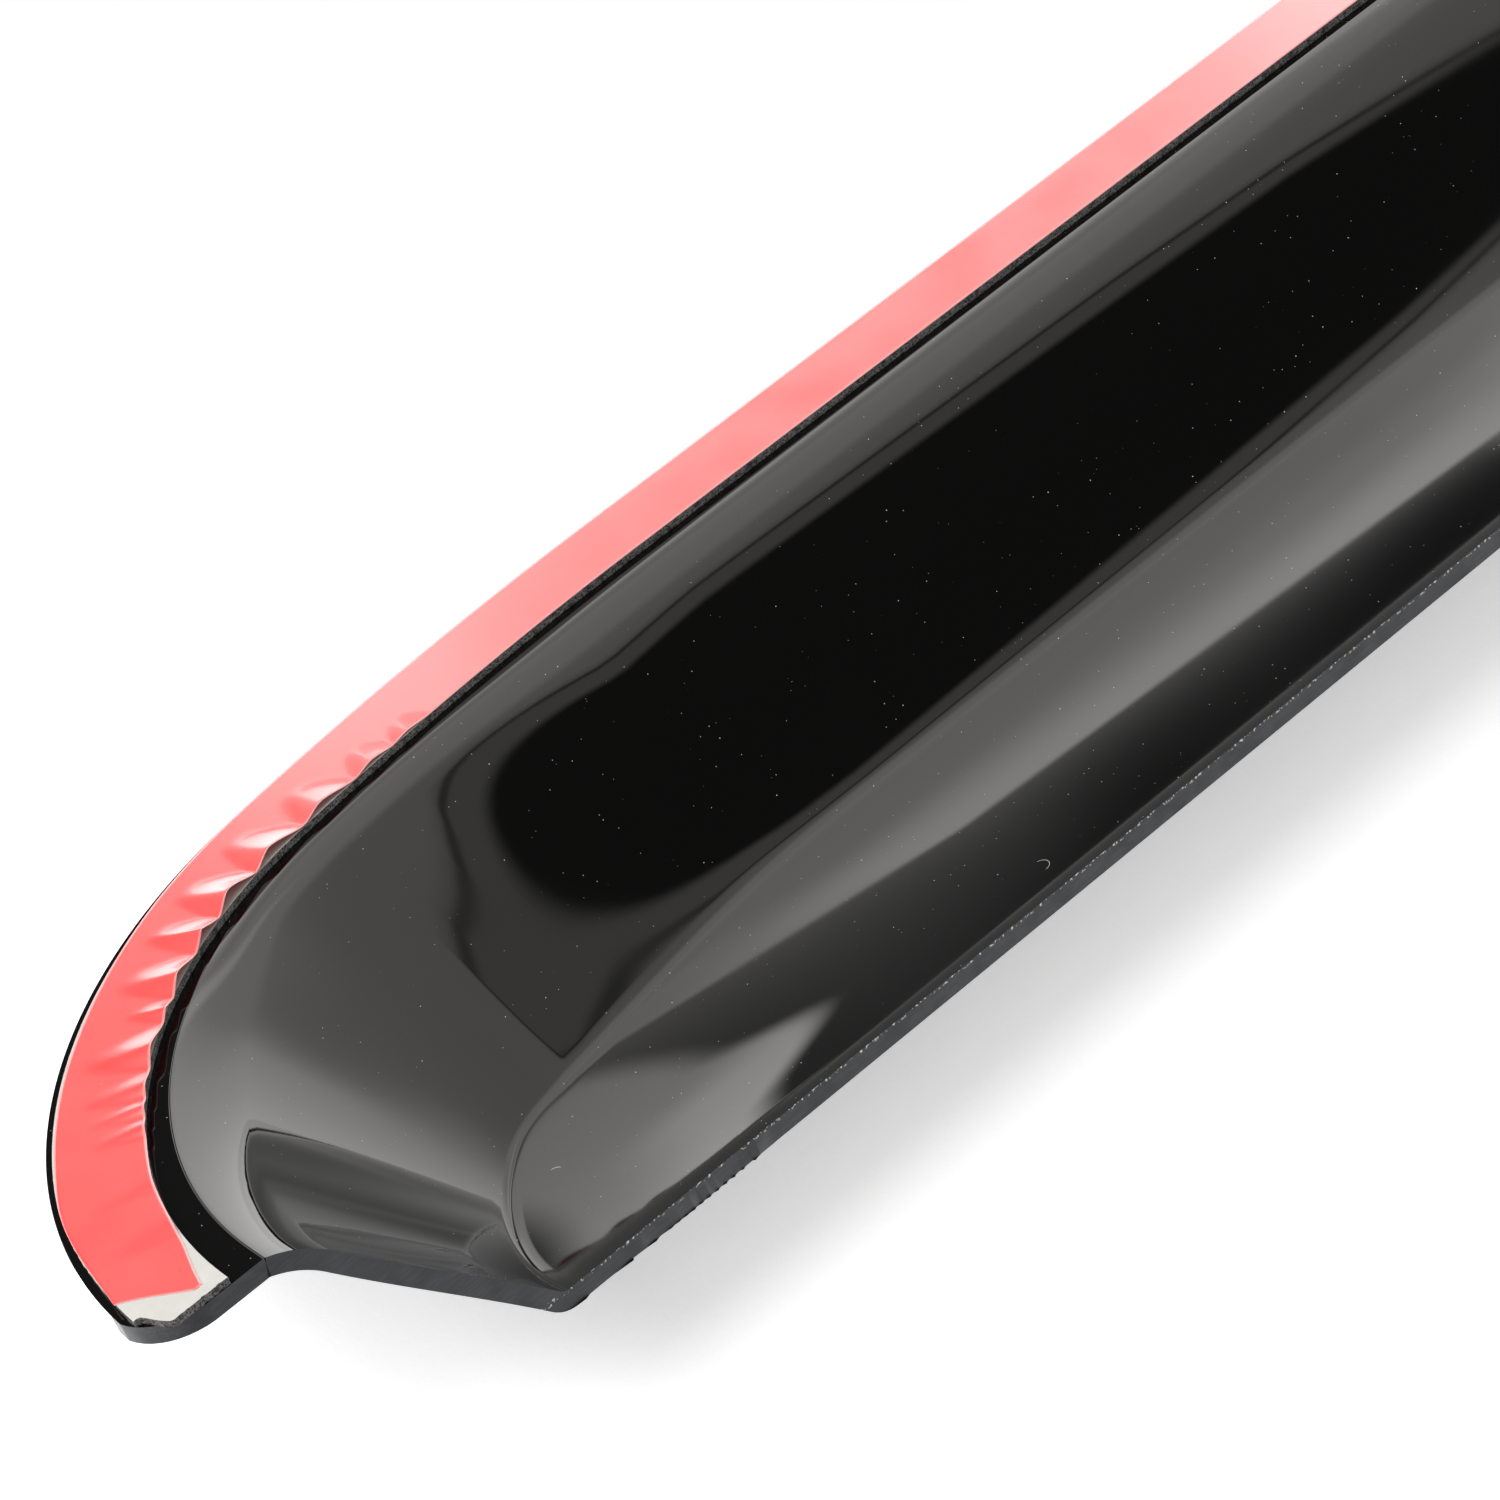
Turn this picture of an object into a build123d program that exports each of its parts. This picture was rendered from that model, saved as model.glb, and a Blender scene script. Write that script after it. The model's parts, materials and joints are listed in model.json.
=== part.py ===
"""Stick-on window rain deflector: a formed acrylic shell, a strip of foam tape and its peel-off liner.

The sheet frame has X along the deflector, Y from the free edge (0) to the flange's outer edge,
and Z out of the flange's taped side, with that side at 0. The part is symmetric about X = 0.
The finished part is then tilted about X until it lies on its crease and its flange's edge.
"""

import os
from math import asin, atan2, cos, degrees, hypot, radians, sin, sqrt, tan

from build123d import *

# Overall
length = 700.0  # end to end, along X
sheet = 3.0  # thickness of the formed sheet

# Section across the run
flange_width = 13.9  # flat part that takes the tape
bend_radius = 10.0  # flange to wall, on the taped side
depth = 30.0  # taped side of the flange to the crease
free_depth = 32.4  # taped side of the flange to the free edge
wall_run = 31.3  # bend line to the crease, across the run
wall_end_angle = 42.0  # slope of the wall where it meets the bend and the crease, degrees
wall_ease = 1 / 3  # share of the wall over which it leaves that slope, at each end
face_width = 38.7  # crease to the free edge
face_radius = 100.0  # hollow of the face, on its inside
crease_radius = 1.0  # inside the crease

# Plan of each end
flange_end_width = 16.8  # flange along the cut
bend_end_straight = 3.0  # straight part of the bend line above the cut
flange_end_straight = 2.5  # straight part of the flange's edge above the cut
flange_corner_radius = 6.0  # rounded corner of the flange at the cut
ease_radius = 390.0  # gentle arc between the end and the run
ease_angle = 9.5  # turn of that arc, degrees

# Tape and liner
tape_width = 12.0
tape_thickness = 1.1
tape_inset = 1.6  # from the flange's edge, on the run
tape_end_inset = 0.5  # from the flange's edge, at the ends
tape_end_angle = 21.0  # slant of the tape's cut ends, degrees
tape_end_gap = 0.4  # bare flange between the cut edge and the tape's inner corner
liner_thickness = 0.12
liner_end_angle = 35.0  # slant of the liner's cut ends, degrees
liner_setback = 0.6  # tape left uncovered at each end, along its inner edge
gather_count = 10  # puckers along the liner's inner edge at each end
gather_first = 10.0  # place of the first pucker round the end, degrees from the run
gather_pitch = 5.6  # degrees between puckers
gather_length = 6.0  # along a pucker, from its mouth to its point
gather_width = 4.0  # of a pucker's mouth
gather_height = 1.2  # of a pucker's mouth
gather_tip = 0.2  # a pucker's point, as a share of its mouth
gather_overhang = 0.5  # of a pucker's mouth past the liner's inner edge

# Places worked out from the sizes above
bend_y = face_width + wall_run
edge_y = bend_y + flange_width
face_fall = degrees(atan2(free_depth - depth, face_width))  # slope of the face's chord
face_half_angle = degrees(asin(hypot(free_depth - depth, face_width) / 2 / face_radius))
face_angle = face_fall + face_half_angle  # slope of the face where it meets the crease
face_axis_y = face_width - face_radius * sin(radians(face_angle))
face_axis_z = -depth + face_radius * cos(radians(face_angle))
overrun = 3 * sheet  # how far the wall is formed past the face before trimming
clear = length  # reach of trimming tools past the part


def end_arc_radius(start_y, run_y, ease):
    """Radius of the arc round an end that leads from an upright start into an easing arc and the run."""
    turn = radians(ease_angle)
    return (run_y - start_y - ease * (1 - cos(turn))) / cos(turn)


bend_ease_radius = ease_radius - flange_width
bend_end_radius = end_arc_radius(bend_end_straight, bend_y, bend_ease_radius)
end_x = -length / 2 + flange_end_width + bend_end_radius
ease_x = end_x + (bend_ease_radius - bend_end_radius) * sin(radians(ease_angle))
end_axis = Axis((end_x, bend_end_straight, 0), (0, 0, 1))
ease_axis = Axis((ease_x, bend_y - bend_ease_radius, 0), (0, 0, 1))


def polar(angle, distance):
    """A step in the section plane, at a slope that falls towards the free edge."""
    return Vector(-cos(radians(angle)), -sin(radians(angle))) * distance


def wall_curve(offset):
    """Bend and wall in the section plane, offset into the sheet, with a straight overrun."""
    start = Vector(bend_y, -offset)
    bend_centre = Vector(bend_y, -bend_radius)
    normal = polar(wall_end_angle - 90, 1.0)
    bend_end = bend_centre + normal * (bend_radius - offset)
    bend_middle = bend_centre + polar(wall_end_angle / 2 - 90, bend_radius - offset)
    foot = Vector(face_width, -depth) - normal * offset
    reach = (foot - bend_end).length * wall_ease
    bend = ThreePointArc(start, bend_middle, bend_end)
    wall = Bezier(
        bend_end,
        bend_end + polar(wall_end_angle, reach),
        foot - polar(wall_end_angle, reach),
        foot,
    )
    tail = Line(foot, foot + polar(wall_end_angle, overrun))
    return [bend, wall, tail]


def swept(section):
    """Takes a section face along the run, round one end and past the cut, and mirrors it."""
    face = Plane.YZ.offset(ease_x) * section
    eased = face.rotate(ease_axis, ease_angle)
    turned = eased.rotate(end_axis, 90 - ease_angle)
    run = extrude(face, amount=-ease_x, dir=(1, 0, 0))
    ease = revolve(face, axis=ease_axis, revolution_arc=ease_angle)
    end = revolve(eased, axis=end_axis, revolution_arc=90 - ease_angle)
    start = extrude(turned, amount=bend_end_straight + overrun, dir=(0, -1, 0))
    half = run + ease + end + start
    return half + mirror(half, about=Plane.YZ)


def plan_edges(start_x, start_y, outer_y, inset):
    """Edges of a line that follows the flange: up the end, round two arcs and along to the middle."""
    end_radius = end_arc_radius(start_y, outer_y, ease_radius)
    start = (start_x + inset, start_y)
    round_end = JernArc(start, (0, 1), end_radius - inset, ease_angle - 90)
    ease = JernArc(round_end @ 1, round_end % 1, ease_radius - inset, -ease_angle)
    run = Line(ease @ 1, (0, (ease @ 1).Y))
    return [round_end, ease, run]


def plan_face(half_edges):
    """Closes half outlines along X = 0 and mirrors the face to the other end."""
    half = make_face(half_edges)
    return half + mirror(half, about=Plane.YZ)


def shell():
    """The formed sheet: flange, wall and hollow face, trimmed to its outline."""
    spare = flange_width
    inner, outer = wall_curve(0), wall_curve(sheet)
    flange_tip, flange_under = (edge_y + spare, 0), (edge_y + spare, -sheet)
    rim = [
        Line(flange_tip, (bend_y, 0)),
        *inner,
        Line(inner[-1] @ 1, outer[-1] @ 1),
        *outer,
        Line((bend_y, -sheet), flange_under),
        Line(flange_under, flange_tip),
    ]
    formed = swept(make_face(rim))

    middle = wall_curve(sheet / 2)[-1]
    plug_top, plug_low = middle @ 0, middle @ 1
    inner_y = bend_y - bend_end_radius
    fill = Polyline(plug_top, plug_low, (inner_y, plug_low.Y), (inner_y, plug_top.Y), close=True)
    core_top = inner_y + sheet
    core = Box(2 * (sheet - end_x), core_top + overrun, plug_top.Y - plug_low.Y)
    core = Pos(0, (core_top - overrun) / 2, (plug_top.Y + plug_low.Y) / 2) * core
    hollow = Cylinder(face_radius, 2 * clear, rotation=(0, 90, 0))
    floor = swept(make_face(fill)) + core - Pos(0, face_axis_y, face_axis_z) * hollow

    under_radius = face_radius + sheet
    under_half = face_width
    under_rise = face_axis_z - sqrt(under_radius**2 - under_half**2)
    left, right = (face_axis_y - under_half, under_rise), (face_axis_y + under_half, under_rise)
    lowest = -free_depth - face_radius
    under = make_face(
        [
            ThreePointArc(left, (face_axis_y, face_axis_z - under_radius), right),
            Polyline(right, (right[0], lowest), (left[0], lowest), left),
        ]
    )
    below = extrude(Plane.YZ * under, amount=clear, both=True)

    round_end, ease, run = plan_edges(-length / 2, flange_end_straight, edge_y, 0)
    outline = [
        Line((-length / 2, 0), round_end @ 0),
        round_end,
        ease,
        run,
        Line(run @ 1, (0, 0)),
        Line((0, 0), (-length / 2, 0)),
    ]
    trim = extrude(plan_face(outline), amount=clear, both=True)

    body = ((formed + floor) - below) & trim
    face_edges = body.faces().sort_by(Axis.Z)[0].edges()
    crease = face_edges.filter_by(lambda edge: edge.center().Y > bend_end_straight / 4)
    body = fillet(crease, crease_radius + sheet)
    tips = body.edges().filter_by(Axis.Z).group_by(Axis.Y)[0]
    return fillet(tips, flange_corner_radius)


def strip(setback, slant, bottom, thickness):
    """A strip on the flange, with slanted ends that stop short of the cut edge."""
    outer_y = edge_y - tape_inset
    outer = plan_edges(-length / 2 + tape_end_inset, 0, outer_y, 0)
    inner = plan_edges(-length / 2 + tape_end_inset, 0, outer_y, tape_width)
    closed = [
        *outer,
        Line(outer[-1] @ 1, inner[-1] @ 1),
        *inner,
        Line(inner[0] @ 0, outer[0] @ 0),
    ]
    corner = inner[0] @ 0 + Vector(0, tape_end_gap + setback)
    slope = tan(radians(slant))
    reach = 2 * tape_width
    waste = Polyline(
        corner + Vector(reach, -reach * slope),
        corner + Vector(-reach, reach * slope),
        corner + Vector(-reach, -reach),
        corner + Vector(reach, -reach),
        close=True,
    )
    waste = make_face(waste)
    face = plan_face(closed) - waste - mirror(waste, about=Plane.YZ)
    return extrude(Pos(0, 0, bottom) * face, amount=thickness)


def gathers():
    """Puckers where the liner is too long for the inside of the curve: tapered tents on the strip."""
    inner = plan_edges(-length / 2 + tape_end_inset, 0, edge_y - tape_inset, tape_width)[0]
    centre = inner.arc_center
    half_width = gather_width / 2
    mouth = make_face(Polyline((-half_width, 0), (0, gather_height), (half_width, 0), close=True))
    tent = loft([Plane.YZ * mouth, Plane.YZ.offset(gather_length) * scale(mouth, gather_tip)])
    half = [
        Pos(centre.X, centre.Y, tape_thickness + liner_thickness / 2)
        * Rot(Z=90 + gather_first + index * gather_pitch)
        * Pos(X=inner.radius - gather_overhang)
        * tent
        for index in range(gather_count)
    ]
    return half + [mirror(tent, about=Plane.YZ) for tent in half]


def liner():
    """The film over the tape, with its puckers."""
    film = strip(liner_setback, liner_end_angle, tape_thickness, liner_thickness)
    return film.fuse(*gathers())


def rest_tilt():
    """Tilt about X that puts the rounded crease and the flange's outer edge on one level."""
    half_turn = radians(wall_end_angle - face_angle) / 2
    middle_angle = radians(wall_end_angle + face_angle) / 2
    to_centre = crease_radius / cos(half_turn)
    centre_y = face_width - to_centre * sin(middle_angle)
    centre_z = -depth + to_centre * cos(middle_angle)
    run, rise = edge_y - centre_y, -sheet - centre_z
    return degrees(atan2(rise, run) + asin((crease_radius + sheet) / hypot(run, rise)))


parts = {
    "deflector_shell": shell(),
    "foam_tape": strip(0, tape_end_angle, 0, tape_thickness),
    "release_liner": liner(),
}

tilted = {name: Rot(X=-rest_tilt()) * solid for name, solid in parts.items()}
box = Compound(children=[Part(solid.wrapped) for solid in tilted.values()]).bounding_box()
to_origin = Pos(-box.center().X, -box.center().Y, -box.min.Z)

os.makedirs("parts", exist_ok=True)
for name, solid in tilted.items():
    export_step(to_origin * solid, f"parts/{name}.step")
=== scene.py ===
"""Looks of a stick-on window rain deflector: a smoked acrylic shell, its foam tape and the red release liner.

Pieces are modelled in the sheet frame, in millimetres: X along the deflector, Y from the free edge (0) to the
flange's outer edge, Z out of the flange's taped side. lay_down then takes them to the frame in which it lies.
"""

import json
from math import asin, atan2, cos, degrees, pi, radians, sin, sqrt, tan

import bmesh
import bpy
from mathutils import Matrix, Vector, noise


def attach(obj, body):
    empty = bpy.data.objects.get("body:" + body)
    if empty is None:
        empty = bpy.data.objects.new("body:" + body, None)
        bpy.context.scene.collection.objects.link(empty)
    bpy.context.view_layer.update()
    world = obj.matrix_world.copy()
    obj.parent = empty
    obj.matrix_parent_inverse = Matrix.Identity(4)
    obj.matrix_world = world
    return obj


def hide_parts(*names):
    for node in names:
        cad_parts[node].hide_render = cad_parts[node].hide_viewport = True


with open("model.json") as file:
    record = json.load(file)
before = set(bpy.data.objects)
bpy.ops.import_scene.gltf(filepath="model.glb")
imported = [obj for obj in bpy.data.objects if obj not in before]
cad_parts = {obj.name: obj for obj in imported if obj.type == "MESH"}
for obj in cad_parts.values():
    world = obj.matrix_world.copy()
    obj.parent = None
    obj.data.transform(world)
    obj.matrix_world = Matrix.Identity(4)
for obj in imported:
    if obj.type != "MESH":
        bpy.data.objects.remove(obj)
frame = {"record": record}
noise.seed_set(7)
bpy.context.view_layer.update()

# Sizes of the shell, millimetres and degrees
MM = 0.001
length = 700.0
sheet = 2.7
flange_width = 13.9
bend_radius = 10.0
depth = 30.0
free_depth = 32.4
wall_run = 31.3
wall_end_angle = 42.0
face_width = 38.7
face_radius = 100.0
flange_end_width = 16.8
bend_end_straight = 3.0
flange_end_straight = 2.5
flange_corner_radius = 9.0
ease_radius = 390.0
ease_angle = 9.5
crease_setback = 0.8  # of the small round inside the crease, along the wall and the face
arris = 0.22  # width of the broken edge round every cut

# Sizes of the tape and the liner
tape_width = 12.0
tape_thickness = 1.1
tape_inset = 1.6
tape_end_inset = 0.1
tape_end_gap = 0.4
liner_thickness = 0.12
liner_setback = 0.6
liner_end_angle = 35.0

# Section of the bend and the wall, on the run, where the end begins and at the cut: the bend's radius,
# the wall's slope at its top and its foot, and how far the sheet turns at once where the bend begins
run_section = bend_radius, wall_end_angle, 0.0
shoulder_section = 8.0, 44.8, 5.0
cut_section = 18.0, 50.6, 20.0
kink_radius = 1.0
shoulder_span = -236, -270  # places along X between which the run's section becomes the shoulder's
cut_span = 20, 45  # degrees round the end between which the shoulder's section becomes the cut's

# The wall runs a little further in where the end begins, and less again towards the cut
wall_extra = 1.4
wall_extra_grows = -230, -280  # places along X
wall_extra_fades = -286, -308

# Points this close to the middle or to the cut are put on it
seam_snap = 0.01
cut_snap = 0.02

# Fineness of the shell's grid
start_columns = 6
end_columns = 84
ease_columns = 20
run_columns = 36
flange_rows = 4
bend_rows = 20
kink_rows = 4  # of the bend's rows
wall_rows = 30
crease_rows = 6
face_rows = 24
below_cut = 2.5  # how far the grid reaches past the cut before it is trimmed

# Places worked out from the sizes
bend_y = face_width + wall_run
edge_y = bend_y + flange_width
chord = Vector((face_width, free_depth - depth))
face_tilt = atan2(chord.y, chord.x) + atan2(chord.length / 2, sqrt(face_radius**2 - (chord.length / 2) ** 2))
face_axis = Vector((face_width - face_radius * sin(face_tilt), -depth + face_radius * cos(face_tilt)))

# From the sheet frame to the frame in which the part lies, by way of the taped face's mount
tape_mount = frame["record"]["mounts"][0]
flange_normal = Vector(tape_mount["axis"])
lean = Matrix.Rotation(-atan2(flange_normal.y, flange_normal.z), 4, "X")
tape_centre = Vector((0, edge_y - tape_inset - tape_width / 2, tape_thickness + liner_thickness)) * MM
lay_down = Matrix.Translation(Vector(tape_mount["pos_m"]) - lean @ tape_centre) @ lean @ Matrix.Scale(MM, 4)


def ramp(value, low, high):
    """Eases from 0 to 1 between two values."""
    share = min(max((value - low) / (high - low), 0), 1)
    return share * share * (3 - 2 * share)


# Plan of the flange's edge and of the strips on it

class Plan:
    """A line up one end, round a small arc and a large one, and along the run."""

    def __init__(self, start_x, start_y, run_y, ease):
        turn = radians(ease_angle)
        self.start_x = start_x
        self.start_y = start_y
        self.run_y = run_y
        self.ease = ease
        self.turn = pi / 2 - turn
        self.radius = (run_y - start_y - ease * (1 - cos(turn))) / cos(turn)
        self.centre = Vector((start_x + self.radius, start_y))
        self.join = Vector((-cos(self.turn), sin(self.turn)))  # from the centre to where the arcs meet
        self.ease_centre = self.centre - self.join * (ease - self.radius)

    def ray_reach(self, origin, direction):
        """Distance from a point inside, along a direction, to the line."""
        reach = ray_to_circle(origin, direction, self.ease_centre, self.ease)
        hit_x = origin.x + direction.x * reach
        if hit_x > self.ease_centre.x:
            return (self.run_y - origin.y) / direction.y
        if hit_x > self.centre.x + self.join.x * self.radius:
            return reach
        reach = ray_to_circle(origin, direction, self.centre, self.radius)
        if origin.y + direction.y * reach < self.start_y:
            return (self.start_x - origin.x) / direction.x
        return reach


def ray_to_circle(origin, direction, centre, radius):
    """Distance along a unit direction from a point inside a circle to the circle."""
    along = (centre - origin).dot(direction)
    aside = (centre - origin).length_squared - along**2
    return along + sqrt(radius**2 - aside)


flange_plan = Plan(-length / 2, flange_end_straight, edge_y, ease_radius)
bend_plan = Plan(-length / 2 + flange_end_width, bend_end_straight, bend_y, ease_radius - flange_width)
tape_plan = Plan(-length / 2 + tape_end_inset, 0, edge_y - tape_inset, ease_radius)


# Section of the formed sheet

def face_z(y):
    """Height of the hollow face."""
    return face_axis.y - sqrt(face_radius**2 - (y - face_axis.x) ** 2)


def bend_place(column):
    """Place on the bend line and the direction inwards: columns go up the end, round it and along the run."""
    if column < start_columns:
        rise = (below_cut + bend_plan.start_y) * column / start_columns
        return Vector((bend_plan.start_x, rise - below_cut)), Vector((1, 0))
    column -= start_columns
    if column < end_columns:
        angle = bend_plan.turn * column / end_columns
        outward = Vector((-cos(angle), sin(angle)))
        return bend_plan.centre + outward * bend_plan.radius, -outward
    column -= end_columns
    if column < ease_columns:
        angle = bend_plan.turn + radians(ease_angle) * column / ease_columns
        outward = Vector((-cos(angle), sin(angle)))
        return bend_plan.ease_centre + outward * bend_plan.ease, -outward
    column -= ease_columns
    return Vector((bend_plan.ease_centre.x * (1 - column / run_columns), bend_y)), Vector((0, -1))


def face_target(x):
    """Where a column of the face heads for, below the cut: one point for the end, straight on for the run."""
    joined = bend_plan.centre.x + bend_plan.join.x * bend_plan.radius
    share = min(max((x - joined) / (bend_plan.ease_centre.x - joined), 0), 1)
    eased = bend_plan.centre.x + (bend_plan.ease_centre.x - bend_plan.centre.x) * share
    return Vector((max(eased, x), -below_cut))


class Column:
    """One section of the sheet, square to the bend line."""

    def __init__(self, column):
        self.start, self.inward = bend_place(column)
        self.reach = flange_plan.ray_reach(self.start, -self.inward)
        along = self.start.x
        section = Vector(run_section).lerp(Vector(shoulder_section), ramp(along, *shoulder_span))
        turned = degrees(atan2(self.inward.x, -self.inward.y))
        self.radius, tilt, kink = section.lerp(Vector(cut_section), ramp(turned, *cut_span))
        self.kink = radians(kink)
        self.tilt = radians(tilt)
        self.bend_end = self.bend(self.tilt)
        run = wall_run + wall_extra * (ramp(along, *wall_extra_grows) - ramp(along, *wall_extra_fades))
        crease = self.start + self.inward * run
        self.foot = Vector((run, face_z(crease.y)))
        wall_length = (self.foot - self.bend_end).length
        self.pull = Vector((cos(self.tilt), -sin(self.tilt))) * (wall_length / 3)
        self.crease = crease.to_3d() + Vector((0, 0, self.foot.y))
        self.above_share = 1 - crease_setback / wall_length
        self.target = face_target(self.start.x)
        self.beyond = crease + (self.target - crease).normalized() * crease_setback

    def bend(self, angle):
        """A point of the bend, by how far the sheet has turned there."""
        first = min(angle, self.kink)
        start = Vector((sin(first), cos(first) - 1)) * kink_radius
        return start + Vector((sin(angle) - sin(first), cos(angle) - cos(first))) * self.radius

    def at(self, point):
        """The place of a section point: its distance inwards from the bend line, and its height."""
        plan = self.start + self.inward * point.x
        return Vector((plan.x, plan.y, point.y))

    def wall(self, share):
        """A point of the wall: 0 at the bend, 1 at the crease."""
        rest = 1 - share
        return self.at(
            self.bend_end * rest**3
            + (self.bend_end + self.pull) * 3 * rest**2 * share
            + (self.foot - self.pull) * 3 * rest * share**2
            + self.foot * share**3
        )

    def face(self, share):
        """A point of the face: 0 just past the crease, 1 below the cut."""
        plan = self.beyond.lerp(self.target, share)
        return Vector((plan.x, plan.y, face_z(plan.y)))

    def point(self, row):
        """A point of the section, by its row: flange, bend, wall, crease and face."""
        if row <= flange_rows:
            return self.at(Vector((-self.reach * (1 - row / flange_rows), 0)))
        row -= flange_rows
        if row <= bend_rows:
            if row <= kink_rows:
                return self.at(self.bend(self.kink * row / kink_rows))
            share = (row - kink_rows) / (bend_rows - kink_rows)
            return self.at(self.bend(self.kink + (self.tilt - self.kink) * share))
        row -= bend_rows
        if row <= wall_rows:
            return self.wall(self.above_share * row / wall_rows)
        row -= wall_rows
        if row <= crease_rows:
            part = row / crease_rows
            above = self.wall(self.above_share)
            return above * (1 - part) ** 2 + self.crease * 2 * part * (1 - part) + self.face(0) * part**2
        return self.face((row - crease_rows) / face_rows)


# Mesh helpers

def cut_away(bm, point, outward):
    """Cuts off what lies beyond a plane."""
    everything = bm.verts[:] + bm.edges[:] + bm.faces[:]
    bmesh.ops.bisect_plane(bm, geom=everything, dist=1e-5, plane_co=point, plane_no=outward, clear_outer=True)


def mirror_ends(bm):
    """Adds the other end of the deflector and closes the seam at the middle."""
    for vert in bm.verts:
        if abs(vert.co.x) < seam_snap:
            vert.co.x = 0
    everything = bm.verts[:] + bm.edges[:] + bm.faces[:]
    bmesh.ops.mirror(bm, geom=everything, axis="X", merge_dist=1e-4)
    bmesh.ops.remove_doubles(bm, verts=bm.verts[:], dist=1e-4)
    bmesh.ops.recalc_face_normals(bm, faces=bm.faces[:])


def face_up(bm):
    """Turns an open sheet so that its flange looks out of the taped side."""
    flange = max(bm.faces, key=lambda face: face.calc_center_median().y)
    if flange.normal.z < 0:
        bmesh.ops.reverse_faces(bm, faces=bm.faces[:])


def thicken(bm, thickness, rim_finish):
    """Gives an open sheet its thickness on its lower side; the faces round its rim get their own finish."""
    bm.normal_update()
    upper = set(bm.faces)
    lowered = bmesh.ops.extrude_face_region(bm, geom=bm.faces[:], use_keep_orig=True)["geom"]
    lower = {item for item in lowered if isinstance(item, bmesh.types.BMFace)}
    steps = {vert: vert.normal * thickness for vert in lowered if isinstance(vert, bmesh.types.BMVert)}
    for vert, step in steps.items():
        vert.co -= step
    bmesh.ops.recalc_face_normals(bm, faces=bm.faces[:])
    bm.normal_update()
    rim = [face for face in bm.faces if face not in upper and face not in lower]
    for face in rim:
        face.material_index = rim_finish
    return rim


def add_piece(name, bm, finishes, node):
    """Lays a mesh down in the part's frame, where it stands for its CAD node."""
    bm.transform(lay_down)
    mesh = bpy.data.meshes.new(name)
    bm.to_mesh(mesh)
    bm.free()
    for finish in finishes:
        mesh.materials.append(finish)
    mesh.shade_smooth()
    piece = bpy.data.objects.new(name, mesh)
    bpy.context.scene.collection.objects.link(piece)
    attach(piece, "root")
    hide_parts(node)
    return piece


def break_edges(piece, width):
    """Rounds the sharp edges of a piece a little."""
    rounding = piece.modifiers.new("broken_edges", "BEVEL")
    rounding.width = width * MM
    rounding.segments = 2
    rounding.limit_method = "ANGLE"
    rounding.angle_limit = radians(40)
    rounding.harden_normals = True


# Shell

def shell_mesh():
    """The formed sheet: its hollow side as a grid, cut to outline and given its thickness."""
    bm = bmesh.new()
    columns = start_columns + end_columns + ease_columns + run_columns
    rows = flange_rows + bend_rows + wall_rows + crease_rows + face_rows
    sections = [Column(column) for column in range(columns + 1)]
    bmesh.ops.create_grid(bm, x_segments=columns, y_segments=rows, size=0.5)
    bmesh.ops.translate(bm, verts=bm.verts, vec=(0.5, 0.5, 0))
    bmesh.ops.scale(bm, verts=bm.verts, vec=(columns, rows, 1))
    for vert in bm.verts:
        vert.co = sections[round(vert.co.x)].point(round(vert.co.y))
        if abs(vert.co.y) < cut_snap:
            vert.co.y = 0
    cut_away(bm, (0, 0, 0), (0, -1, 0))
    round_centre = Vector((-length / 2 + flange_corner_radius, flange_corner_radius, 0))
    facets = 12
    for facet in range(1, facets):
        angle = pi + pi / 2 * facet / facets
        outward = Vector((cos(angle), sin(angle), 0))
        cut_away(bm, round_centre + outward * flange_corner_radius, outward)
    mirror_ends(bm)
    face_up(bm)
    on_cut = {vert for vert in bm.verts if abs(vert.co.y) < 1e-3}
    for face in thicken(bm, sheet, 1):
        if len(on_cut.intersection(face.verts)) == 2:
            for vert in face.verts:
                vert.co.y = 0
        elif face.calc_center_median().y > flange_corner_radius:
            face.material_index = 0
    return bm


# Tape and liner

arc_steps = 200
ease_steps = 70
run_steps = 44
foam_rows = 24
film_rows = 30
end_blend = 24.0  # degrees from the end over which a slanted cut fades out along the strip
end_shift = 0.7  # how far the strips' outer side lies in, at their end
torn_back = 4.6  # how far the foam's outer corner is torn off
bump_size = 0.14  # of the foam's rough sides
bump_pitch = 1.7  # bumps per millimetre, roughly
foam_arris = 0.08

# Puckers of the film on the inside of the curve: place in degrees from the run, how far they reach
# towards the run and towards the end in degrees, height and reach across in millimetres, and sharpness
# of the crest
puckers = (
    (-8.0, 3.4, 2.4, 0.35, 5.0, 0.2),
    (-2.6, 3.8, 2.8, 0.6, 6.0, 0.2),
    (5.3, 5.6, 3.4, 1.1, 8.0, 0.2),
    (13.8, 6.0, 3.4, 1.5, 9.0, 0.3),
    (21.4, 5.6, 3.4, 1.9, 9.5, 0.3),
    (27.6, 4.2, 2.8, 1.6, 9.5, 0.9),
    (34.6, 5.0, 3.0, 1.5, 9.5, 0.4),
    (39.6, 2.6, 1.8, 0.8, 6.0, 0.9),
    (46.2, 5.0, 3.2, 1.2, 9.5, 0.3),
    (52.3, 3.6, 2.2, 0.75, 8.5, 0.3),
    (55.9, 2.4, 1.6, 0.6, 8.0, 0.4),
    (59.2, 2.4, 1.8, 0.5, 8.0, 0.4),
    (68.7, 4.0, 2.4, 0.25, 8.0, 0.2),
    (77.0, 4.6, 3.0, 0.4, 10.0, 0.2),
)


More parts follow.
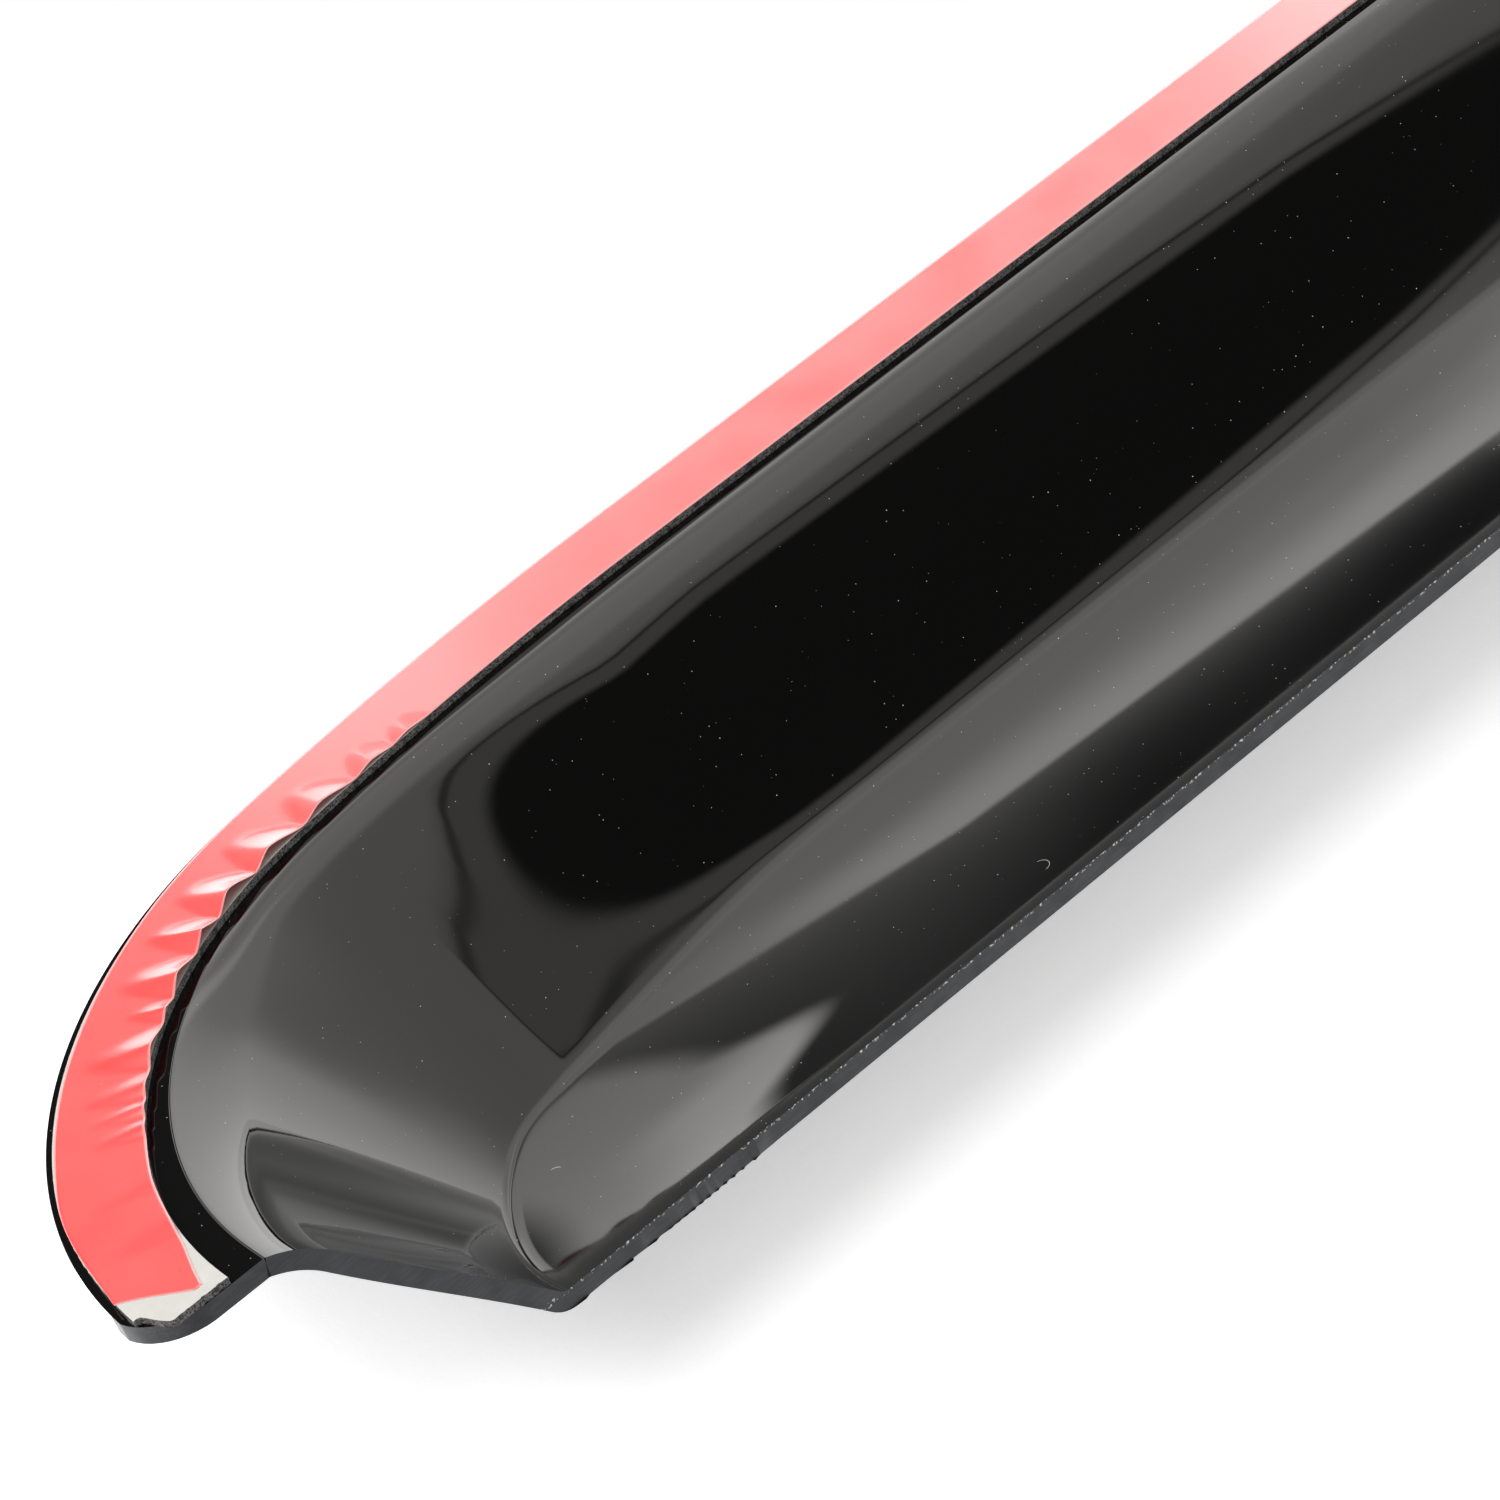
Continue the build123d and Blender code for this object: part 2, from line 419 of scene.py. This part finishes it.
def swept_strip(rows, height):
    """One end of the strip on the flange as an open sheet, swept from its end to the middle of the run."""
    bm = bmesh.new()
    outer = bm.verts.new((tape_plan.start_x, tape_plan.start_y, height))
    inner = bm.verts.new((tape_plan.start_x + tape_width, tape_plan.start_y, height))
    bmesh.ops.subdivide_edges(bm, edges=[bm.edges.new((outer, inner))], cuts=rows - 1)
    front = bm.verts[:] + bm.edges[:]
    end_arc = tape_plan.centre, tape_plan.turn, arc_steps
    ease_arc = tape_plan.ease_centre, radians(ease_angle), ease_steps
    for centre, turn, steps in (end_arc, ease_arc):
        swept = bmesh.ops.spin(bm, geom=front, cent=centre.to_3d(), axis=(0, 0, 1), angle=-turn, steps=steps)
        front = swept["geom_last"]
    step = (-tape_plan.ease_centre.x / run_steps, 0, 0)
    bmesh.ops.spin(bm, geom=front, cent=(0, 0, 0), axis=(0, 0, 1), angle=0, dvec=step, steps=run_steps)
    return bm


def round_place(point):
    """Degrees from the run round the end, and distance from the strip's outer line."""
    spoke = point.to_2d() - tape_plan.centre
    if point.x > tape_plan.ease_centre.x:
        across = tape_plan.run_y - point.y
    elif spoke.x > tape_plan.join.x * tape_plan.radius:
        across = tape_plan.ease - (point.to_2d() - tape_plan.ease_centre).length
    else:
        across = tape_plan.radius - spoke.length
    return degrees(atan2(-spoke.x, spoke.y)), across


def cut_end(bm, gap, slant, waver):
    """Slants the end of a swept strip: the rows near it are drawn back along the curve."""
    centre = tape_plan.centre
    for vert in bm.verts:
        turned, across = round_place(vert.co)
        from_end = 90 - turned
        if from_end > end_blend:
            continue
        reach = tape_plan.radius - across
        cut_y = gap + (tape_width - across) * tan(radians(slant)) + waver(across)
        drawn = degrees(asin(cut_y / reach)) * (1 - from_end / end_blend)
        spoke = vert.co - centre.to_3d()
        vert.co.xy = centre + Matrix.Rotation(-radians(drawn), 2) @ spoke.to_2d()


def shift_across(vert, distance):
    """Moves a point of a strip towards the inside of the curve."""
    spoke = vert.co.to_2d() - tape_plan.centre
    vert.co.xy -= spoke.normalized() * distance


def torn(across):
    """The foam's torn end: flush with the cut, with its outer corner torn off."""
    coarse = noise.noise(Vector((across * 0.9, 3.1, 0))) * 0.4
    ragged = coarse + noise.noise(Vector((across * 2.7, 7.7, 0))) * 0.25
    return max(torn_back * ramp(across, 3.5, 0.6) + ragged, 0.05)


def tape_shift(turned, across):
    """How far the strips' outer side lies in from the flange's edge, near their end."""
    return end_shift * ramp(90 - turned, end_blend, 10) * (1 - across / tape_width)


def foam_mesh():
    """The foam tape, with a torn end, a pale outer side and a rough inner one painted dark as shade."""
    bm = swept_strip(foam_rows, tape_thickness)
    cut_end(bm, 0, 0, torn)
    for vert in bm.verts:
        shift_across(vert, tape_shift(*round_place(vert.co)))
    mirror_ends(bm)
    face_up(bm)
    rim = thicken(bm, tape_thickness, 1)
    # The outer side takes the face's pale colour. The rest of the rim keeps the side finish, which is painted
    # shade.
    for face in rim:
        middle = face.calc_center_median()
        turned, across = round_place(Vector((-abs(middle.x), middle.y, 0)))
        if across < 1 and turned < 80:
            face.material_index = 0
    on_rim = {edge for face in rim for edge in face.edges}
    sides = []
    for edge in bm.edges:
        first, second = edge.verts
        if edge in on_rim and abs(first.co.z - second.co.z) > tape_thickness / 2:
            sides.append(edge)
    bmesh.ops.subdivide_edges(bm, edges=sides, cuts=3, use_grid_fill=True)
    for vert in bm.verts:
        if 0.05 < vert.co.z < tape_thickness - 0.05:
            vert.co.xy += noise.noise_vector(vert.co * bump_pitch).to_2d() * bump_size
    return bm


def pucker_height(turned, inside):
    """How far the film stands off the tape, at a distance from its inner edge."""
    height = 0.0
    for place_round, before, after, crest, reach, sharpness in puckers:
        left = 1 - inside / reach
        if left <= 0:
            continue
        half_width = before if turned < place_round else after
        aside = abs(turned - place_round) / (half_width * (0.35 + 0.65 * left))
        if aside >= 1:
            continue
        arch = (1 + cos(pi * aside)) / 2
        ridge = (1 - aside) ** 1.5
        height = max(height, crest * left**1.5 * (arch + (ridge - arch) * sharpness))
    return height


def film_shift(turned, across):
    """How far the film has slid towards the inside of the curve, near its end."""
    from_end = 90 - turned
    slid = 0.35 * ramp(from_end, 20, 32) * ramp(from_end, 72, 48)
    thrown = 0.6 * ramp(from_end, 10, 2)
    drawn_in = 0.0085 * max(17 - from_end, 0) ** 2 * across / tape_width
    return slid - thrown - drawn_in


def wavered(across):
    """The film's cut end: nearly straight, with its inner corner drawn back."""
    return 0.12 * sin(across * 0.55) + 0.8 * ramp(across, 10.8, tape_width)


def film_mesh():
    """The release film, lifted off the tape in puckers on the inside of the curve."""
    bm = swept_strip(film_rows, tape_thickness + liner_thickness)
    cut_end(bm, tape_end_gap + liner_setback, liner_end_angle, wavered)
    for vert in bm.verts:
        turned, across = round_place(vert.co)
        vert.co.z += pucker_height(turned, tape_width - across)
        shift_across(vert, tape_shift(turned, across) + film_shift(turned, across))
    mirror_ends(bm)
    face_up(bm)
    thicken(bm, liner_thickness, 1)
    return bm


# Node helpers

class Graph:
    """A node tree, with short ways to add what the finishes are made of."""

    def __init__(self, tree):
        self.tree = tree

    def node(self, kind, **settings):
        node = self.tree.nodes.new(kind)
        for name, value in settings.items():
            setattr(node, name, value)
        return node

    def feed(self, socket, value):
        """Links a socket, or sets a plain value on it."""
        if isinstance(value, bpy.types.NodeSocket):
            self.tree.links.new(value, socket)
        else:
            socket.default_value = value

    def maths(self, operation, *values):
        node = self.node("ShaderNodeMath", operation=operation)
        for socket, value in zip(node.inputs, values):
            self.feed(socket, value)
        return node.outputs[0]

    def vector(self, operation, *values):
        node = self.node("ShaderNodeVectorMath", operation=operation)
        for socket, value in zip(node.inputs, values):
            self.feed(socket, value)
        return node.outputs["Value" if operation in ("DOT_PRODUCT", "LENGTH", "DISTANCE") else "Vector"]

    def ease(self, value, low, high, out_low=0.0, out_high=1.0):
        """Eases from one level to another while a value goes from low to high."""
        node = self.node("ShaderNodeMapRange", interpolation_type="SMOOTHSTEP")
        names = "Value", "From Min", "From Max", "To Min", "To Max"
        for name, setting in zip(names, (value, low, high, out_low, out_high)):
            self.feed(node.inputs[name], setting)
        return node.outputs["Result"]

    def between(self, share, first, second):
        """Mixes two numbers."""
        node = self.node("ShaderNodeMix", data_type="FLOAT")
        for socket, value in zip((node.inputs[0], node.inputs[2], node.inputs[3]), (share, first, second)):
            self.feed(socket, value)
        return node.outputs[0]

    def tint(self, share, first, second):
        """Mixes two colours."""
        node = self.node("ShaderNodeMix", data_type="RGBA")
        for socket, value in zip((node.inputs[0], node.inputs[6], node.inputs[7]), (share, first, second)):
            self.feed(socket, value if isinstance(value, (float, bpy.types.NodeSocket)) else (*value, 1))
        return node.outputs[2]

    def position(self):
        return self.node("ShaderNodeTexCoord").outputs["Object"]

    def stretched(self, scale):
        node = self.node("ShaderNodeMapping")
        self.feed(node.inputs["Vector"], self.position())
        self.feed(node.inputs["Scale"], scale)
        return node.outputs["Vector"]

    def grain(self, vector, size, detail=2.0, roughness=0.5):
        """Noise with blotches of about that size, in millimetres."""
        node = self.node("ShaderNodeTexNoise")
        self.feed(node.inputs["Vector"], vector)
        self.feed(node.inputs["Scale"], 1 / (size * MM))
        self.feed(node.inputs["Detail"], detail)
        self.feed(node.inputs["Roughness"], roughness)
        return node.outputs[0]

    def cells(self, vector, size):
        """Scattered cells of about that size, in millimetres."""
        node = self.node("ShaderNodeTexVoronoi", feature="F1")
        self.feed(node.inputs["Vector"], vector)
        self.feed(node.inputs["Scale"], 1 / (size * MM))
        return node

    def bump(self, height, relief, strength):
        """A bump of that relief in millimetres."""
        node = self.node("ShaderNodeBump")
        self.feed(node.inputs["Height"], height)
        self.feed(node.inputs["Distance"], relief * MM)
        self.feed(node.inputs["Strength"], strength)
        return node.outputs["Normal"]


def new_finish(name, roughness, ior):
    finish = bpy.data.materials.new(name)
    finish.use_nodes = True
    shader = finish.node_tree.nodes["Principled BSDF"]
    shader.inputs["Roughness"].default_value = roughness
    shader.inputs["IOR"].default_value = ior
    return finish, Graph(finish.node_tree), shader.inputs


# Finishes

def dust(graph, place):
    """Specks of dust and a few short fibres, as a mask."""
    specks = graph.cells(place, 1.0)
    chance = graph.node("ShaderNodeSeparateColor")
    graph.feed(chance.inputs[0], specks.outputs["Color"])
    size = graph.ease(chance.outputs[0], 0.35, 1.0, 0.0, 0.1)
    speck = graph.ease(specks.outputs["Distance"], size, graph.maths("MULTIPLY", size, 0.5))
    weight = graph.ease(chance.outputs[1], 0.0, 1.0, 0.15, 0.8)
    speck = graph.maths("MULTIPLY", speck, weight)
    wide = graph.cells(place, 9.0)
    pick = graph.node("ShaderNodeSeparateColor")
    graph.feed(pick.inputs[0], wide.outputs["Color"])
    away = graph.vector("SUBTRACT", place, wide.outputs["Position"])
    radius = graph.vector("LENGTH", away)
    curl = graph.ease(pick.outputs[1], 0.0, 1.0, 0.4 * MM, 1.6 * MM)
    off_line = graph.maths("ABSOLUTE", graph.maths("SUBTRACT", radius, curl))
    turned = graph.vector("SUBTRACT", wide.outputs["Color"], (0.5, 0.5, 0.5))
    facing = graph.vector("DOT_PRODUCT", graph.vector("NORMALIZE", away), graph.vector("NORMALIZE", turned))
    fibre = graph.ease(off_line, 0.055 * MM, 0.025 * MM)
    fibre = graph.maths("MULTIPLY", fibre, graph.ease(facing, 0.35, 0.5))
    fibre = graph.maths("MULTIPLY", fibre, graph.ease(pick.outputs[0], 0.9, 0.91, 0.0, 0.5))
    return graph.maths("MAXIMUM", speck, fibre)


def acrylic_finish():
    """Smoked acrylic, polished, with dust on it."""
    finish, graph, sockets = new_finish("smoked_acrylic", 0.03, 1.49)
    graph.feed(sockets["Specular Tint"], (1.0, 0.965, 0.94, 1.0))
    place = graph.position()
    dirt = dust(graph, place)
    graph.feed(sockets["Base Color"], graph.tint(dirt, (0.0022, 0.0021, 0.002), (0.8, 0.79, 0.76)))
    haze = graph.ease(graph.grain(place, 35, 3.0), 0.35, 0.75, 0.02, 0.05)
    graph.feed(sockets["Roughness"], graph.between(dirt, haze, 0.6))
    return finish


def sawn_finish():
    """The sheet's cut edge: satin, with faint saw marks and pale chips along the free edge."""
    finish, graph, sockets = new_finish("sawn_acrylic", 0.42, 1.36)
    place = graph.position()
    along = graph.stretched((0.12, 1, 1))
    streaks = graph.grain(along, 0.35, 3.0, 0.6)
    blotches = graph.grain(place, 4.0, 3.0)
    shade = graph.tint(graph.ease(streaks, 0.3, 0.75), (0.014, 0.015, 0.018), (0.03, 0.031, 0.036))
    shade = graph.tint(graph.ease(blotches, 0.45, 0.75, 0.0, 0.5), shade, (0.013, 0.014, 0.016))
    free_arris = lay_down @ Vector((0, 0, -free_depth))
    flat = graph.vector("MULTIPLY", place, (0, 1, 1))
    off_arris = graph.vector("DISTANCE", flat, tuple(free_arris))
    near = graph.ease(off_arris, 0.5 * MM, 0.15 * MM)
    chips = graph.ease(graph.grain(place, 0.5, 2.0), 0.56, 0.62)
    chips = graph.maths("MULTIPLY", graph.maths("MULTIPLY", chips, near), 0.9)
    graph.feed(sockets["Base Color"], graph.tint(chips, shade, (0.75, 0.75, 0.74)))
    graph.feed(sockets["Roughness"], graph.ease(blotches, 0.3, 0.7, 0.36, 0.52))
    graph.feed(sockets["Normal"], graph.bump(streaks, 0.03, 0.5))
    return finish


def foam_top_finish():
    """The tape's pale sticky face."""
    finish, graph, sockets = new_finish("foam_tape", 0.6, 1.45)
    place = graph.position()
    mottle = graph.grain(place, 1.6, 4.0, 0.6)
    graph.feed(sockets["Base Color"], graph.tint(mottle, (0.56, 0.55, 0.5), (0.68, 0.67, 0.63)))
    graph.feed(sockets["Roughness"], graph.ease(mottle, 0.3, 0.7, 0.5, 0.7))
    graph.feed(sockets["Normal"], graph.bump(mottle, 0.06, 0.6))
    return finish


def foam_painted_shade_finish():
    """The tape's open-celled side: grainy, and painted near black as shade, far darker than the pale face of
    the same foam.
    """
    finish, graph, sockets = new_finish("foam_painted_shade_side", 0.85, 1.45)
    place = graph.position()
    pores = graph.cells(place, 0.28).outputs["Distance"]
    patches = graph.grain(place, 0.9, 3.0, 0.6)
    # Near-black base colour with darker patches is painted shade on the foam's side, over its real pores.
    shade = graph.tint(graph.ease(pores, 0.25, 0.6), (0.012, 0.012, 0.012), (0.17, 0.165, 0.16))
    shade = graph.tint(graph.ease(patches, 0.45, 0.7, 0.0, 0.8), shade, (0.015, 0.014, 0.014))
    graph.feed(sockets["Base Color"], shade)
    graph.feed(sockets["Normal"], graph.bump(pores, 0.12, 0.9))
    graph.feed(sockets["Roughness"], graph.ease(patches, 0.3, 0.7, 0.75, 0.95))
    return finish


def film_finish():
    """The red release film: glossy, with a faint waviness and specks caught under it, and paler along the run
    as a painted sheen.
    """
    finish, graph, sockets = new_finish("red_film", 0.32, 2.0)
    place = graph.position()
    cloud = graph.grain(place, 9.0, 3.0)
    # Paler base colour along the run, where the film lies flat, is a painted sheen. It stands in for the
    # bright studio's reflection there. The puckered ends keep the film's own red.
    spread = graph.node("ShaderNodeSeparateXYZ")
    graph.feed(spread.inputs[0], place)
    flat = graph.ease(graph.maths("ABSOLUTE", spread.outputs[0]), 0.32, 0.24)
    puckered = graph.tint(cloud, (0.92, 0.08, 0.074), (0.95, 0.098, 0.092))
    painted_sheen_tint = graph.tint(cloud, (0.93, 0.155, 0.148), (0.96, 0.175, 0.168))
    graph.feed(sockets["Base Color"], graph.tint(flat, puckered, painted_sheen_tint))
    graph.feed(sockets["Roughness"], graph.ease(cloud, 0.3, 0.7, 0.28, 0.36))
    sockets["Coat Weight"].default_value = 0.5
    sockets["Coat Roughness"].default_value = 0.1
    waves = graph.grain(place, 2.4, 2.0)
    pimples = graph.ease(graph.cells(place, 2.2).outputs["Distance"], 0.12, 0.02)
    height = graph.maths("ADD", graph.maths("MULTIPLY", waves, 0.5), pimples)
    height = graph.maths("MULTIPLY_ADD", graph.grain(place, 0.5, 2.0), 0.35, height)
    graph.feed(sockets["Normal"], graph.bump(height, 0.05, 0.35))
    return finish


def film_rim_highlight_finish():
    """The film's cut edge, paler than its face: a painted highlight along the edge."""
    finish, graph, sockets = new_finish("film_rim_painted_highlight", 0.4, 1.5)
    mottle = graph.grain(graph.position(), 1.0, 2.0)
    # Pale pink base colour is a painted highlight along the film's cut edge.
    graph.feed(sockets["Base Color"], graph.tint(mottle, (0.9, 0.4, 0.38), (0.95, 0.7, 0.67)))
    return finish


# Pieces

shell_finishes = [acrylic_finish(), sawn_finish()]
shell = add_piece("shell", shell_mesh(), shell_finishes, "deflector_shell")
break_edges(shell, arris)
foam = add_piece("foam", foam_mesh(), [foam_top_finish(), foam_painted_shade_finish()], "foam_tape")
break_edges(foam, foam_arris)
add_piece("film", film_mesh(), [film_finish(), film_rim_highlight_finish()], "release_liner")

# Camera of the photograph
camera_place = (-0.48211, -0.22832, 0.64043)
camera_azimuth = -47.652
camera_elevation = 61.53
camera_roll = 5.874
camera_data = bpy.data.cameras.new("camera")
camera_data.lens = 132.0
camera_data.sensor_width = 36.0
camera_data.clip_start = 0.01
camera = bpy.data.objects.new("camera", camera_data)
camera.matrix_world = (
    Matrix.Translation(camera_place)
    @ Matrix.Rotation(radians(camera_azimuth), 4, "Z")
    @ Matrix.Rotation(radians(90 - camera_elevation), 4, "X")
    @ Matrix.Rotation(radians(camera_roll), 4, "Z")
)
bpy.context.scene.collection.objects.link(camera)
bpy.context.scene.camera = camera


# Floor

floor_mirrored = 1.9  # brightness of the floor in polished surfaces


def floor_finish():
    """White paper that is pure white to the camera where nothing shades it, with a painted pool of light
    towards the negative-X end that washes out the shade under the part there.
    """
    finish, graph, sockets = new_finish("floor_paper", 0.9, 1.3)
    place = graph.position()
    fibres = graph.grain(place, 1.2, 4.0, 0.65)
    graph.feed(sockets["Base Color"], graph.tint(fibres, (0.86, 0.86, 0.86), (0.9, 0.9, 0.9)))
    sockets["Specular IOR Level"].default_value = 0.0
    relief = graph.maths("MULTIPLY_ADD", graph.grain(place, 7.0, 3.0), 3.0, fibres)
    graph.feed(sockets["Normal"], graph.bump(relief, 0.08, 0.7))
    sockets["Emission Color"].default_value = (1, 1, 1, 1)
    light_path = graph.node("ShaderNodeLightPath")
    spread = graph.node("ShaderNodeSeparateXYZ")
    graph.feed(spread.inputs[0], place)
    # Emission seen by the camera is an even white lift. It is raised towards the negative-X end as a painted
    # pool of light that lightens the shade under the cut end.
    camera_white_and_light_pool = graph.ease(spread.outputs[0], -0.286, -0.312, 0.36, 0.58)
    seen = graph.maths("MULTIPLY", light_path.outputs["Is Camera Ray"], camera_white_and_light_pool)
    mirrored = light_path.outputs["Is Glossy Ray"]
    graph.feed(sockets["Emission Strength"], graph.maths("MULTIPLY_ADD", mirrored, floor_mirrored, seen))
    return finish


floor_back = 0.075  # where the floor ends behind the part
bm = bmesh.new()
bmesh.ops.create_grid(bm, x_segments=1, y_segments=1, size=1.2)
cut_away(bm, (0, floor_back, 0), (0, 1, 0))
floor_mesh = bpy.data.meshes.new("floor")
bm.to_mesh(floor_mesh)
bm.free()
floor_mesh.materials.append(floor_finish())
floor = bpy.data.objects.new("floor", floor_mesh)
bpy.context.scene.collection.objects.link(floor)


# Light

def studio_level(graph):
    """Brightness of the studio as polished surfaces see it, by direction."""
    heading = graph.node("ShaderNodeSeparateXYZ")
    graph.feed(heading.inputs[0], graph.node("ShaderNodeTexCoord").outputs["Generated"])
    x, y, z = heading.outputs
    round_about = graph.maths("DEGREES", graph.maths("ARCTAN2", x, y))
    upward = graph.maths("DEGREES", graph.maths("ARCSINE", z))

    # White tent, brighter behind the part than in front of it, with a bright seam
    tent = graph.ease(y, 0.0, 0.33, 1.5, 2.5)
    tent = graph.maths("MULTIPLY_ADD", graph.maths("MINIMUM", y, 0), 0.9, tent)
    low_glow = graph.maths("MULTIPLY", graph.ease(upward, 26, 8), graph.ease(round_about, 30, 38))
    tent = graph.maths("MULTIPLY_ADD", low_glow, 0.95, tent)
    seam = graph.maths("MULTIPLY_ADD", upward, 0.5, 25.0)
    off_seam = graph.maths("ABSOLUTE", graph.maths("SUBTRACT", round_about, seam))
    seam = graph.maths("MULTIPLY", graph.ease(off_seam, 5, 0.5), graph.ease(upward, 50, 26))
    seam = graph.maths("MULTIPLY", seam, graph.ease(upward, 10, 20))
    tent = graph.maths("MULTIPLY_ADD", seam, 1.2, tent)
    off_dip = graph.maths("ABSOLUTE", graph.maths("SUBTRACT", upward, 26))
    dip = graph.maths("MULTIPLY", graph.ease(off_dip, 7, 2), graph.ease(round_about, 34, 30))
    tent = graph.maths("MULTIPLY_ADD", dip, -0.35, tent)

    # Dark stand behind the part, with a bright rim over it
    slope = graph.maths("MAXIMUM", graph.maths("SUBTRACT", 22.5, round_about), 0)
    top = graph.maths("MULTIPLY_ADD", round_about, -0.95, 35.0)
    top = graph.maths("MULTIPLY_ADD", slope, 1.9, top)
    above = graph.maths("SUBTRACT", upward, top)
    rim = graph.maths("MULTIPLY", graph.ease(above, 11, 2), graph.ease(round_about, 33, 30))
    rim = graph.maths("MULTIPLY", rim, graph.ease(round_about, 19.5, 22.5))
    tent = graph.maths("MULTIPLY_ADD", rim, 1.05, tent)
    fade = graph.ease(round_about, 20, 24, 14, 5)
    fade = graph.maths("SUBTRACT", fade, graph.ease(round_about, 25, 28, 0, 2.2))
    depth_in = graph.maths("DIVIDE", graph.maths("MINIMUM", above, 0), fade)
    shade = graph.maths("MULTIPLY_ADD", graph.maths("EXPONENT", depth_in), 0.95, 0.05)
    notch = graph.ease(graph.maths("ABSOLUTE", graph.maths("SUBTRACT", upward, 3)), 8, 0, 18.55, 19.5)
    past_notch = graph.maths("SUBTRACT", round_about, notch)
    inside = graph.maths("MULTIPLY", graph.ease(above, 0.7, -0.7), graph.ease(past_notch, -0.35, 0.35))
    inside = graph.maths("MULTIPLY", inside, graph.ease(round_about, 29.8, 28.6))

    # Bright strip beside the stand, and the dark end of the tent beside that
    strip = graph.maths("MULTIPLY", graph.ease(upward, 9, 3), graph.ease(round_about, 16.5, 18))
    strip = graph.maths("MULTIPLY", strip, graph.ease(round_about, 20.5, 19))
    tent = graph.maths("MULTIPLY_ADD", strip, 1.0, tent)
    tent = graph.between(inside, tent, shade)
    dim = graph.maths("MULTIPLY", graph.ease(round_about, 16.3, 15.5), graph.ease(upward, 30, 24))
    tent = graph.between(dim, tent, 0.08)

    # Dark opening in front, with a border and a hem
    lift = graph.maths("MAXIMUM", z, 0.1)
    over_x = graph.maths("DIVIDE", x, lift)
    over_y = graph.maths("DIVIDE", y, lift)
    line = graph.maths("MULTIPLY_ADD", over_x, 0.45, -0.154)
    fall = graph.maths("MAXIMUM", graph.maths("SUBTRACT", over_x, 0.55), 0)
    line = graph.maths("MULTIPLY_ADD", fall, 0.6, line)
    outside = graph.maths("MULTIPLY", graph.maths("ADD", over_y, line), 0.912)
    overhead = graph.ease(z, 0.3, 0.4)
    narrowed = graph.maths("MAXIMUM", graph.maths("SUBTRACT", over_x, 0.5), 0)
    beside = graph.maths("MULTIPLY_ADD", narrowed, 0.35, outside)
    border = graph.maths("MULTIPLY", graph.ease(beside, 0.09, 0.05), overhead)
    tent = graph.between(border, tent, 0.85)
    off_hem = graph.maths("ABSOLUTE", graph.maths("SUBTRACT", beside, 0.058))
    hem = graph.maths("MULTIPLY", graph.ease(off_hem, 0.010, 0.002), overhead)
    tent = graph.between(hem, tent, 0.35)
    opening = graph.maths("MULTIPLY", graph.ease(outside, 0.014, -0.012), overhead)
    return graph.between(opening, tent, 0.06)


fill_level = 0.62  # brightness of the studio for matt surfaces
world = bpy.data.worlds.new("studio")
bpy.context.scene.world = world
world.use_nodes = True
world.cycles.sampling_method = "NONE"
graph = Graph(world.node_tree)
background = world.node_tree.nodes["Background"]
path = graph.node("ShaderNodeLightPath")
level = graph.between(path.outputs["Is Glossy Ray"], fill_level, studio_level(graph))
level = graph.between(path.outputs["Is Camera Ray"], level, 1.0)
background.inputs["Color"].default_value = (1, 1, 1, 1)
graph.feed(background.inputs["Strength"], level)

lamp_data = bpy.data.lights.new("overhead_lamp", "AREA")
lamp_data.shape = "DISK"
lamp_data.size = 0.8
lamp_data.energy = 10.0
lamp = bpy.data.objects.new("overhead_lamp", lamp_data)
lamp_place = Vector((-0.85, 0.5, 0.9))
lamp_target = Vector((-0.2, 0, 0))
lamp_turn = (lamp_place - lamp_target).to_track_quat("Z", "Y")
lamp.matrix_world = Matrix.Translation(lamp_place) @ lamp_turn.to_matrix().to_4x4()
lamp.visible_glossy = False
bpy.context.scene.collection.objects.link(lamp)

bpy.context.scene.view_settings.view_transform = "Standard"
